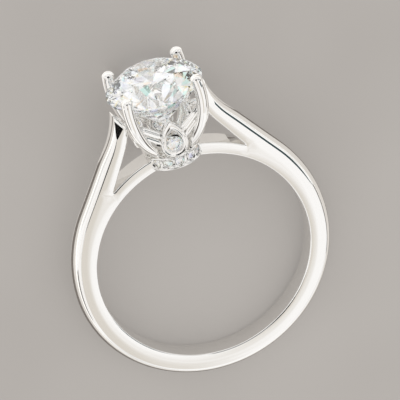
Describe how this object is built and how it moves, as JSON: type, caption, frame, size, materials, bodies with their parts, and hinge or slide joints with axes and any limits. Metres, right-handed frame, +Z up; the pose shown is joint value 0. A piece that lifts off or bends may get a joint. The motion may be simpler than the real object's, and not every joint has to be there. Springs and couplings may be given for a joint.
{
  "type": "cathedral setting ring",
  "caption": "Slim finger ring whose shoulders sweep up to a petalled four-prong head with a round brilliant and a jewelled collar.",
  "frame": {"origin": "centre of the ring's footprint, on the surface that it lies on", "axes": "+Y from the hoop to the stone, +Z up; the finger hole's axis leans 6.5 degrees from +Z towards -Y"},
  "size_m": [0.02, 0.0256, 0.0073],
  "materials": {
    "white_metal": "high polish",
    "diamond": "faceted and polished"
  },
  "bodies": {
    "root": {"ring_metal": "white_metal", "centre_stone": "diamond", "petal_stone_front": "diamond", "petal_stone_back": "diamond", "collar_stone_1": "diamond", "collar_stone_2": "diamond", "collar_stone_3": "diamond", "collar_stone_4": "diamond", "collar_stone_5": "diamond", "collar_stone_6": "diamond", "collar_stone_7": "diamond", "collar_stone_8": "diamond", "collar_stone_9": "diamond", "collar_stone_10": "diamond"}
  },
  "joints": []
}
